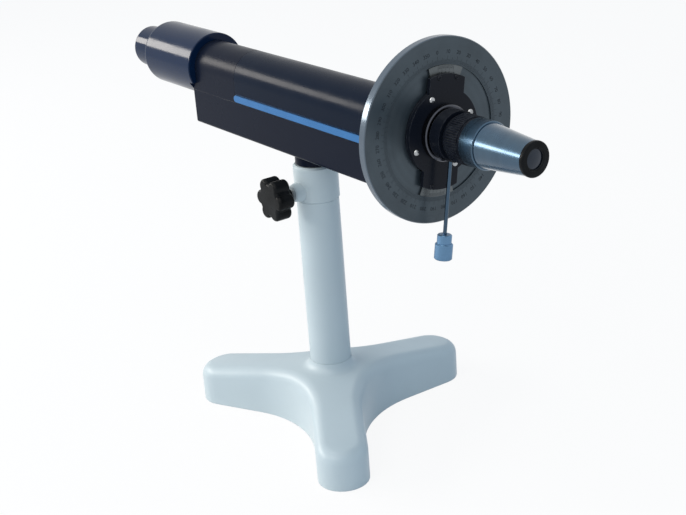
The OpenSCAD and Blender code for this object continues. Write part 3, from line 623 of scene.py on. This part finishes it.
FINISHES: tuple[Finish, ...] = (
    Enamel("stand_paint", (0.52, 0.59, 0.615), roughness=0.36, specular=0.35,
           worn=(0.30, 0.33, 0.34), wear=0.25, dust=(0.36, 0.38, 0.37), dust_share=0.12,
           peel=Pattern(260.0, 1.5), peel_depth=0.03 * MM, shade_share=0.94),
    # Painted reflection: the blue tints of these blacks stand for a blue surround seen in the
    # gloss, strongest on the drum
    Enamel("body_black", (0.006, 0.009, 0.019), roughness=0.25, specular=0.05,
           worn=(0.07, 0.075, 0.09), dust=(0.05, 0.06, 0.08)),
    Enamel("lid_black", (0.004, 0.009, 0.021), roughness=0.22, specular=0.05,
           worn=(0.07, 0.075, 0.09), dust=(0.05, 0.06, 0.08)),
    Enamel("drum_black_painted_sheen", (0.003, 0.014, 0.044), roughness=0.15, specular=0.13,
           worn=(0.07, 0.08, 0.10), dust=(0.04, 0.06, 0.09)),
    # Painted reflection: the strip's blue colour stands for a blue surround seen in the polished
    # metal
    BrushedMetal("strip_polish", (0.055, 0.20, 0.47), roughness=0.24),
    Enamel("hinge_black", (0.012, 0.014, 0.02), roughness=0.4, specular=0.15),
    TurnedMetal("steel", (0.42, 0.43, 0.45), axis=Axis.COLUMN),
    MouldedPlastic("knob_plastic", (0.006, 0.0065, 0.007), roughness=0.26, specular=0.07),
    TurnedMetal("brass", (0.58, 0.43, 0.20), tarnish=(0.25, 0.16, 0.06)),
    Enamel("inner_black", (0.012, 0.012, 0.013), roughness=0.7, specular=0.15, wear=0.1),
    ClearGlass("optical_glass", (0.86, 0.93, 0.96), index=1.4),
    # Painted shade: the lenses are opaque and near black, standing for the dark tube behind them
    CoatedLens("lens_dark_painted_shade", (0.005, 0.007, 0.012)),
    ClearGlass("tube_glass", (0.90, 0.95, 0.96), ripple=0.01 * MM),
    SoftRubber("washer_rubber", (0.2, 0.05, 0.035)),
    # Painted reflection: the blue in the dial's face and rim colours stands for a blue surround
    # seen in the metal
    TurnedMetal("dial_metal", (0.064, 0.084, 0.100), roughness=0.38, metallic=0.6,
                tarnish=(0.038, 0.046, 0.053), rim=66.1 * MM),
    TurnedMetal("vernier_metal", (0.12, 0.135, 0.145), roughness=0.34, tarnish=(0.06, 0.07, 0.07)),
    Enamel("hub_black", (0.008, 0.010, 0.016), roughness=0.28, specular=0.12,
           worn=(0.10, 0.105, 0.12), wear=0.5),
    TurnedMetal("screw_bright", (0.42, 0.44, 0.46), roughness=0.2, tarnish_and_sheen_share=0.1),
    # Painted reflection: the blue of the lever rod and knob stands for a blue surround seen in the
    # metal
    TurnedMetal("lever_steel", (0.06, 0.10, 0.15), axis=Axis.LEVER, roughness=0.25,
                tarnish=(0.04, 0.06, 0.08)),
    TurnedMetal("lever_aluminium", (0.14, 0.27, 0.44), axis=Axis.LEVER, roughness=0.4,
                tarnish=(0.08, 0.14, 0.22)),
    # Painted reflection: the barrel's blue base colour and blue clouds stand for a blue surround
    # seen in the chrome
    TurnedMetal("barrel_chrome", (0.058, 0.105, 0.155), roughness=0.27, groove_depth=0.001 * MM,
                tarnish=(0.02, 0.08, 0.17), tarnish_and_sheen_share=0.4, coat=0.6, bore=8.6 * MM),
    TurnedMetal("ring_polish", (0.05, 0.056, 0.074), roughness=0.3, tarnish=(0.02, 0.025, 0.035),
                coat=0.5),
    Enamel("mark_ink", (0.018, 0.022, 0.027), roughness=0.6, specular=0.1, wear=0.0),
)

# The nodes that wear a glossier coat than the finish that the record names for them, the drum's
# with a painted blue reflection
OTHER_COATS: dict[str, str] = {
    "polariser_drum": "drum_black_painted_sheen",
    "entry_tube": "drum_black_painted_sheen",
    "hub_ring": "ring_polish",
}


class FinishShop:
    """Builds every finish once and lays it on pieces."""

    def __init__(self, finishes: Iterable[Finish]) -> None:
        """Builds the materials.

        Args:
            finishes: All finishes of the object.
        """
        self.materials = {finish.slot: finish.material() for finish in finishes}

    def lay(self, piece: bpy.types.Object, slot: str) -> None:
        """Gives a piece one finish all over.

        Args:
            piece: The mesh object.
            slot: The finish's name.
        """
        piece.data.materials.clear()
        piece.data.materials.append(self.materials[slot])

    def lay_on_nodes(self, nodes: dict[str, bpy.types.Object], others: dict[str, str]) -> None:
        """Lays on each CAD node the finish that its record names, or a glossier one.

        Args:
            nodes: The frame's nodes by name.
            others: The nodes that wear a glossier coat than their slot's, with its name.
        """
        for name, node in nodes.items():
            slot = others.get(name, node.data.materials[0].name.split(".")[0])
            node.data.materials[0] = self.materials[slot]
            LOG.info("node %s wears %s", name, slot)


def piece_from(bm: bmesh.types.BMesh, name: str) -> bpy.types.Object:
    """Makes an object at the origin from a bmesh, and frees the bmesh.

    Args:
        bm: The finished mesh.
        name: The piece's name.

    Returns:
        The linked object.
    """
    mesh = bpy.data.meshes.new(name)
    bm.to_mesh(mesh)
    bm.free()
    piece = bpy.data.objects.new(name, mesh)
    bpy.context.scene.collection.objects.link(piece)
    return piece


def smooth(bm: bmesh.types.BMesh) -> None:
    """Merges a mesh's doubles and shades it smooth between its creases.

    Args:
        bm: The mesh.
    """
    bmesh.ops.remove_doubles(bm, verts=bm.verts[:], dist=DOUBLES)
    for face in bm.faces:
        face.smooth = True
    for edge in bm.edges:
        edge.smooth = edge.calc_face_angle(0.0) < CREASE


class Stand:
    """The tripod casting, with one smooth skin over its facets."""

    def build(self, nodes: dict[str, bpy.types.Object], shop: FinishShop) -> None:
        """Makes the casting's smooth skin.

        Args:
            nodes: The frame's nodes by name.
            shop: The finishes.
        """
        bm = bmesh.new()
        bm.from_mesh(nodes["tripod_base"].data)
        smooth(bm)
        casting = piece_from(bm, "tripod_casting")
        shop.lay(casting, "stand_paint")
        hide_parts("tripod_base")
        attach(casting, "stand")
        LOG.info("tripod casting: %d faces", len(casting.data.polygons))


@dataclass
class Lens:
    """A ground lens with two equal round faces, in the place of its plain solid.

    Attributes:
        node: The plain solid, which also gives its place, radius and thickness.
        body: The body that carries it.
        rim: The thickness of its edge.
        steps: The rows of facets from a face's middle to its edge.
        sides: The facets round it.
    """

    node: str
    body: str
    rim: float
    steps: int = 12
    sides: int = 72

    def build(self, shop: FinishShop) -> None:
        """Turns the lens about the optical axis.

        Args:
            shop: The finishes.
        """
        low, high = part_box(self.node)
        middle = Vector(((low.x + high.x) / 2, 0.0, AXIS_HEIGHT))
        radius = (high.y - low.y) / 2
        bulge = (high.x - low.x - self.rim) / 2
        curve = (radius**2 + bulge**2) / (2 * bulge)
        bm = bmesh.new()
        pole = bm.verts.new(middle + Vector((self.rim / 2 + bulge, 0.0, 0.0)))
        centre = pole.co - Vector((curve, 0.0, 0.0))
        bmesh.ops.spin(bm, geom=[pole], cent=centre, axis=(0.0, 1.0, 0.0), dvec=(0.0, 0.0, 0.0),
                       angle=-math.asin(radius / curve), steps=self.steps)
        bmesh.ops.mirror(bm, geom=bm.verts[:] + bm.edges[:], matrix=Matrix.Translation(-middle),
                         merge_dist=0.0, axis="X")
        bm.edges.new(sorted(bm.verts, key=lambda v: abs(v.co.z - middle.z))[-2:])
        bmesh.ops.spin(bm, geom=bm.verts[:] + bm.edges[:], cent=middle, axis=(1.0, 0.0, 0.0),
                       dvec=(0.0, 0.0, 0.0), angle=2 * math.pi, steps=self.sides, use_merge=True)
        smooth(bm)
        bmesh.ops.recalc_face_normals(bm, faces=bm.faces[:])
        ground = piece_from(bm, f"{self.node}_ground")
        # Painted shade: the lens is opaque and near black, standing for the dark tube seen through
        # it
        shop.lay(ground, "lens_dark_painted_shade")
        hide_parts(self.node)
        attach(ground, self.body)
        LOG.info("%s: %d faces", ground.name, len(ground.data.polygons))


LENSES = (
    Lens("condenser_lens", "head", 2.4 * MM),
    Lens("objective_lens", "analyser", 2.4 * MM),
    Lens("field_lens", "eyepiece", 1.2 * MM),
    Lens("eye_lens", "eyepiece", 1.6 * MM),
)


@dataclass
class HingeScrews:
    """The slotted heads that hold the hinge leaves.

    Attributes:
        radius: The radius of a head.
        rim: The thickness of its plain rim.
        dome: The height of its dome over the rim.
        slot_w: The width of its slot.
        edge: How far its top edge is rounded.
        edge_steps: The rows of facets of that rounding.
        spread: The distance from one head of a leaf to the next.
        rise: The height of the heads over or under the pins.
        inset: The distance of a leaf's middle from the end of the row of leaves.
        leaf: The thickness of a leaf.
        turn_step: How much further each slot is turned than the one before.
        turn_start: How much the first slots are turned.
        sides: The facets round a head.
    """

    radius: float = 2.0 * MM
    rim: float = 0.3 * MM
    dome: float = 0.35 * MM
    slot_w: float = 0.45 * MM
    edge: float = 0.28 * MM
    edge_steps: int = 3
    spread: float = 12.5 * MM
    rise: float = 9.4 * MM
    inset: float = 18.0 * MM
    leaf: float = 1.0 * MM
    turn_step: float = math.radians(37)
    turn_start: float = math.radians(20)
    sides: int = 28

    def disc(self, bm: bmesh.types.BMesh, base: float, depth: float) -> None:
        """Adds a flat disc of the head's radius.

        Args:
            bm: The mesh that takes it.
            base: The height of its lower face.
            depth: How thick it is.
        """
        bmesh.ops.create_cone(bm, cap_ends=True, segments=self.sides, radius1=self.radius,
                              radius2=self.radius, depth=depth,
                              matrix=Matrix.Translation((0.0, 0.0, base + depth / 2)))

    def half_dome(self, bm: bmesh.types.BMesh, side: float) -> None:
        """Adds the half of a dome that lies on one side of the slot.

        Args:
            bm: The mesh that takes it.
            side: 1 or -1.
        """
        half = bmesh.new()
        self.disc(half, self.rim, self.dome)
        top = [e for e in half.edges if all(v.co.z > self.rim + self.dome / 2 for v in e.verts)]
        bmesh.ops.bevel(half, geom=top, offset=self.edge, offset_type="OFFSET",
                        segments=self.edge_steps, profile=0.5, affect="EDGES", material=-1)
        cut = bmesh.ops.bisect_plane(
            half, geom=half.verts[:] + half.edges[:] + half.faces[:], clear_outer=True,
            plane_co=(0.0, side * self.slot_w / 2, 0.0), plane_no=(0.0, -side, 0.0))
        edges = [e for e in cut["geom_cut"] if isinstance(e, bmesh.types.BMEdge)]
        bmesh.ops.holes_fill(half, edges=edges)
        mesh = bpy.data.meshes.new("half")
        half.to_mesh(mesh)
        half.free()
        bm.from_mesh(mesh)
        bpy.data.meshes.remove(mesh)

    def head(self) -> bpy.types.Mesh:
        """Returns one head, whose Z runs out of the leaf."""
        bm = bmesh.new()
        self.disc(bm, 0.0, self.rim)
        for side in (1.0, -1.0):
            self.half_dome(bm, side)
        bmesh.ops.recalc_face_normals(bm, faces=bm.faces[:])
        mesh = bpy.data.meshes.new("head")
        bm.to_mesh(mesh)
        bm.free()
        return mesh

    def build(self, leaves: str, body: str, up: float, shop: FinishShop) -> None:
        """Sets three heads on each leaf of a pair of hinges.

        Args:
            leaves: The node of the leaves.
            body: The body that carries them.
            up: 1 where the leaves rise from the pins, -1 where they hang.
            shop: The finishes.
        """
        low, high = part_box(leaves)
        pin_z = sum(corner.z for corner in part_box("hinge_pins")) / 2
        face_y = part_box("lid")[1].y + self.leaf
        height = pin_z + up * self.rise
        outward = Matrix.Rotation(-math.pi / 2, 4, "X")
        head = self.head()
        bm = bmesh.new()
        for number, middle in enumerate((low.x + self.inset, high.x - self.inset)):
            for step in (-1, 0, 1):
                angle = self.turn_step * (step + 3 * number) + self.turn_start * up
                place = Matrix.Translation((middle + step * self.spread, face_y, height))
                copy = head.copy()
                copy.transform(place @ outward @ Matrix.Rotation(angle, 4, "Z"))
                bm.from_mesh(copy)
                bpy.data.meshes.remove(copy)
        bpy.data.meshes.remove(head)
        screws = piece_from(bm, f"{body}_hinge_screws")
        shop.lay(screws, "screw_bright")
        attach(screws, body)
        LOG.info("%s: %d faces", screws.name, len(screws.data.polygons))


@dataclass
class Scale:
    """Engraved lines and plain numbers on a flat face that looks along the tube.

    Attributes:
        name: The first part of the name of its pieces.
        body: The body that carries it.
        face_x: Where the face lies.
        turn: How far its zero is turned from the top.
        line_w: The width of a line.
        proud: How far a mark stands out of the face, and how deep it goes in.
        curve_steps: How finely the figures' curves are cut.
    """

    name: str
    body: str
    face_x: float
    turn: float = 0.0
    line_w: float = 0.16 * MM
    proud: float = 0.03 * MM
    curve_steps: int = 3

    def spot(self, angle: float) -> Matrix:
        """Finds where a mark goes.

        Args:
            angle: Clockwise from the top, as the reader sees the face.

        Returns:
            The place of a mark whose X runs clockwise and whose Y points outwards.
        """
        angle += self.turn
        across = Vector((0.0, math.cos(angle), -math.sin(angle)))
        outward = Vector((0.0, math.sin(angle), math.cos(angle)))
        turned = Matrix((across, outward, Vector((1.0, 0.0, 0.0)))).transposed().to_4x4()
        return Matrix.Translation((self.face_x, 0.0, AXIS_HEIGHT)) @ turned

    def line(self, bm: bmesh.types.BMesh, angle: float, r0: float, r1: float) -> None:
        """Adds one engraved line.

        Args:
            bm: The mesh that takes it.
            angle: Clockwise from the top.
            r0: Where it starts, from the axis.
            r1: Where it ends.
        """
        size = Matrix.Diagonal((self.line_w, r1 - r0, 2 * self.proud, 1.0))
        middle = Matrix.Translation((0.0, (r0 + r1) / 2, 0.0))
        bmesh.ops.create_cube(bm, size=1.0, matrix=self.spot(angle) @ middle @ size)

    def number(
        self, bm: bmesh.types.BMesh, text: str, angle: float, radius: float, size: float
    ) -> None:
        """Adds one number, read from in front with its top outwards.

        Args:
            bm: The mesh that takes it.
            text: The number.
            angle: Clockwise from the top.
            radius: The distance of its middle from the axis.
            size: The height of its figures.
        """
        curve = bpy.data.curves.new("figures", "FONT")
        curve.body = text
        curve.size = size / FIGURE_SHARE
        curve.align_x, curve.align_y = "CENTER", "CENTER"
        curve.extrude = self.proud
        curve.resolution_u = self.curve_steps
        holder = bpy.data.objects.new("figures", curve)
        mesh = bpy.data.meshes.new_from_object(holder)
        mesh.transform(self.spot(angle) @ Matrix.Translation((0.0, radius, 0.0)))
        bm.from_mesh(mesh)
        bpy.data.objects.remove(holder)
        bpy.data.curves.remove(curve)
        bpy.data.meshes.remove(mesh)

    def place(self, bm: bmesh.types.BMesh, suffix: str, shop: FinishShop) -> None:
        """Makes a piece of the marks and lets it ride with what carries it.

        Args:
            bm: The marks.
            suffix: What kind of marks they are.
            shop: The finishes.
        """
        marks = piece_from(bm, f"{self.name}_{suffix}")
        shop.lay(marks, "mark_ink")
        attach(marks, self.body)
        LOG.info("%s: %d faces", marks.name, len(marks.data.polygons))


@dataclass
class DialScale(Scale):
    """The whole circle in degrees, next to the dial's recess.

    Attributes:
        inner: The radius that the lines start from.
        short: The length of the line of one degree.
        medium: The length of every fifth line.
        long: The length of every tenth line.
        figure_r: The radius of the figures' middle.
        figure: The height of the figures.
    """

    inner: float = 47.3 * MM
    short: float = 3.0 * MM
    medium: float = 4.3 * MM
    long: float = 5.6 * MM
    figure_r: float = 55.6 * MM
    figure: float = 2.7 * MM

    def build(self, shop: FinishShop) -> None:
        """Makes the lines and the numbers.

        Args:
            shop: The finishes.
        """
        lines = bmesh.new()
        figures = bmesh.new()
        for degree in range(360):
            angle = math.radians(degree)
            reach = self.medium if degree % 5 == 0 else self.short
            if degree % 10 == 0:
                reach = self.long
                self.number(figures, str(degree), angle, self.figure_r, self.figure)
            self.line(lines, angle, self.inner, self.inner + reach)
        self.place(lines, "lines", shop)
        self.place(figures, "numbers", shop)


@dataclass
class VernierScale(Scale):
    """Ten divisions to nine degrees on each side of zero, on both plates.

    Attributes:
        outer: The radius that the lines end at.
        short: The length of a plain line.
        long: The length of every fifth line.
        figure_r: The radius of the figures' middle.
        figure: The height of the figures.
        step: The angle of one division.
    """

    outer: float = 46.5 * MM
    short: float = 2.4 * MM
    long: float = 3.8 * MM
    figure_r: float = 40.9 * MM
    figure: float = 2.1 * MM
    step: float = math.radians(0.9)

    def build(self, shop: FinishShop) -> None:
        """Makes the lines and the numbers.

        Args:
            shop: The finishes.
        """
        marks = bmesh.new()
        for side in (0.0, math.pi):
            for count in range(-10, 11):
                reach = self.long if count % 5 == 0 else self.short
                angle = side + count * self.step
                self.line(marks, angle, self.outer - reach, self.outer)
                if count % 5 == 0:
                    self.number(marks, str(abs(count)), angle, self.figure_r, self.figure)
        self.place(marks, "marks", shop)


@dataclass(frozen=True)
class SoftBox:
    """A rectangular lamp that faces the middle of the object.

    Attributes:
        name: The lamp's name.
        place: Where it hangs.
        size: Its width and height.
        watts: Its power.
        colour: The colour of its light.
        aim: The point that it faces.
    """

    name: str
    place: tuple[float, float, float]
    size: tuple[float, float]
    watts: float
    colour: Colour
    aim: tuple[float, float, float] = (0.0, 0.0, 0.24)

    def hang(self) -> None:
        """Adds the lamp to the scene."""
        light = bpy.data.lights.new(self.name, "AREA")
        light.shape = "RECTANGLE"
        light.size, light.size_y = self.size
        light.energy = self.watts
        light.color = self.colour
        holder = bpy.data.objects.new(self.name, light)
        holder.location = self.place
        facing = Vector(self.place) - Vector(self.aim)
        holder.rotation_euler = facing.to_track_quat("Z", "Y").to_euler()
        holder.visible_camera = False
        bpy.context.scene.collection.objects.link(holder)


# A window-like box on the left, a soft one in front and one above
SOFT_BOXES = (
    SoftBox("window_box", (-1.30, -1.17, 0.77), (1.75, 0.40), 27.0, (1.0, 0.95, 0.88)),
    SoftBox("front_box", (0.45, -1.65, 1.6), (1.2, 0.9), 12.0, (1.0, 0.95, 0.86)),
    SoftBox("ceiling_box", (0.1, -0.5, 1.9), (1.2, 1.2), 6.0, (1.0, 0.95, 0.86)),
)


@dataclass
class Studio:
    """A pale floor, soft lamps and the camera that took the photograph.

    Attributes:
        floor_half: Half the width of the floor.
        floor_drop: How far the floor lies under the object.
        floor_colour: The floor's colour under the object's shadow.
        floor_roughness: How matt the floor is.
        fill: The colour of the soft light that the surround gives to the object.
        backdrop_share: How far the floor is washed out to white where it is seen.
        azimuth: The camera's direction, from -Y towards +X.
        elevation: The camera's height over the level.
        roll: How far the camera is turned about its own line of sight.
        eye: Where the camera stands.
        focal: Its focal length in pixels.
        picture_w: The photograph's width in pixels.
        sensor: The width of its sensor in millimetres.
        clip: The nearest and the farthest distance that it shows.
    """

    floor_half: float = 6.0
    floor_drop: float = 0.2 * MM
    floor_colour: Colour = (0.9, 0.9, 0.9)
    floor_roughness: float = 0.9
    fill: Colour = (0.33, 0.45, 0.58)
    backdrop_share: float = 0.9
    azimuth: float = math.radians(55.63)
    elevation: float = math.radians(21.94)
    roll: float = math.radians(-4.31)
    eye: tuple[float, float, float] = (0.8448, -0.5574, 0.5526)
    focal: float = 1309.0
    picture_w: float = 686.0
    sensor: float = 36.0
    clip: tuple[float, float] = (0.01, 50.0)

    def seen_directly(self, graph: Graph) -> bpy.types.NodeSocket:
        """Returns 1 for rays of the camera, of reflections and through glass, else 0."""
        paths = graph.step("ShaderNodeLightPath", {}).node
        camera, glossy, through = (paths.outputs[kind] for kind in SEEN_RAYS)
        return graph.math("MAXIMUM", graph.math("MAXIMUM", camera, glossy), through)

    def build_floor(self) -> None:
        """Lays the pale floor, which keeps the object's shadow."""
        bm = bmesh.new()
        bmesh.ops.create_grid(bm, x_segments=1, y_segments=1, size=self.floor_half,
                              matrix=Matrix.Translation((0.0, 0.0, -self.floor_drop)))
        floor = piece_from(bm, "floor")
        graph = Graph("floor_pale")
        graph.shade(Base_Color=self.floor_colour, Roughness=self.floor_roughness,
                    Specular_IOR_Level=0.0)
        glow = graph.step("ShaderNodeEmission", {0: WHITE, 1: 1.0})
        share = graph.math("MULTIPLY", self.seen_directly(graph), self.backdrop_share)
        both = graph.step("ShaderNodeMixShader", {0: share, 1: graph.shader.outputs[0], 2: glow})
        output = next(n for n in graph.nodes if n.type == "OUTPUT_MATERIAL")
        graph.links.new(both, output.inputs[0])
        floor.data.materials.append(graph.material)

    def build_world(self) -> None:
        """Sets a white surround that gives only a soft fill to the object."""
        world = bpy.data.worlds.new("studio")
        bpy.context.scene.world = world
        world.use_nodes = True
        nodes, links = world.node_tree.nodes, world.node_tree.links
        nodes.clear()
        output = nodes.new("ShaderNodeOutputWorld")
        surround = nodes.new("ShaderNodeBackground")
        surround.inputs[1].default_value = 1.0
        paths = nodes.new("ShaderNodeLightPath")
        tone = nodes.new("ShaderNodeRGB").outputs[0]
        tone.default_value = (*self.fill, 1.0)
        for kind in SEEN_RAYS:
            step = nodes.new("ShaderNodeMix")
            step.data_type = "RGBA"
            links.new(paths.outputs[kind], step.inputs[0])
            links.new(tone, step.inputs[6])
            step.inputs[7].default_value = (*WHITE, 1.0)
            tone = step.outputs[2]
        links.new(tone, surround.inputs[0])
        links.new(surround.outputs[0], output.inputs[0])

    def build_camera(self) -> None:
        """Puts the camera where the photograph was taken from."""
        back = Vector((math.sin(self.azimuth) * math.cos(self.elevation),
                       -math.cos(self.azimuth) * math.cos(self.elevation),
                       math.sin(self.elevation)))
        level = Vector((math.cos(self.azimuth), math.sin(self.azimuth), 0.0))
        upright = back.cross(level)
        right = level * math.cos(self.roll) + upright * math.sin(self.roll)
        up = upright * math.cos(self.roll) - level * math.sin(self.roll)
        data = bpy.data.cameras.new("photograph")
        data.sensor_width = self.sensor
        data.lens = self.focal * self.sensor / self.picture_w
        data.clip_start, data.clip_end = self.clip
        camera = bpy.data.objects.new("photograph", data)
        bpy.context.scene.collection.objects.link(camera)
        turned = Matrix((right, up, back)).transposed().to_4x4()
        camera.matrix_world = Matrix.Translation(self.eye) @ turned
        bpy.context.scene.camera = camera

    def build(self) -> None:
        """Sets up the whole studio."""
        self.build_camera()
        self.build_floor()
        self.build_world()
        for box in SOFT_BOXES:
            box.hang()
        bpy.context.scene.view_settings.view_transform = "Standard"
        LOG.info("studio is set")


def main() -> None:
    """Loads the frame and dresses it."""
    logging.basicConfig(level=logging.INFO, format="%(name)s: %(message)s")
    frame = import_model()
    nodes = frame["nodes"]
    Studio().build()
    shop = FinishShop(FINISHES)
    shop.lay_on_nodes(nodes, OTHER_COATS)
    Stand().build(nodes, shop)
    for lens in LENSES:
        lens.build(shop)
    HingeScrews().build("hinge_fixed_leaves", "head", -1.0, shop)
    HingeScrews().build("hinge_lid_leaves", "lid", 1.0, shop)
    DialScale("dial", "head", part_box("dial")[1].x).build(shop)
    plate_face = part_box("vernier_arm")[0].x
    VernierScale("vernier", "analyser", plate_face, turn=-ANALYSER_TURN).build(shop)


if __name__ == "__main__":
    main()
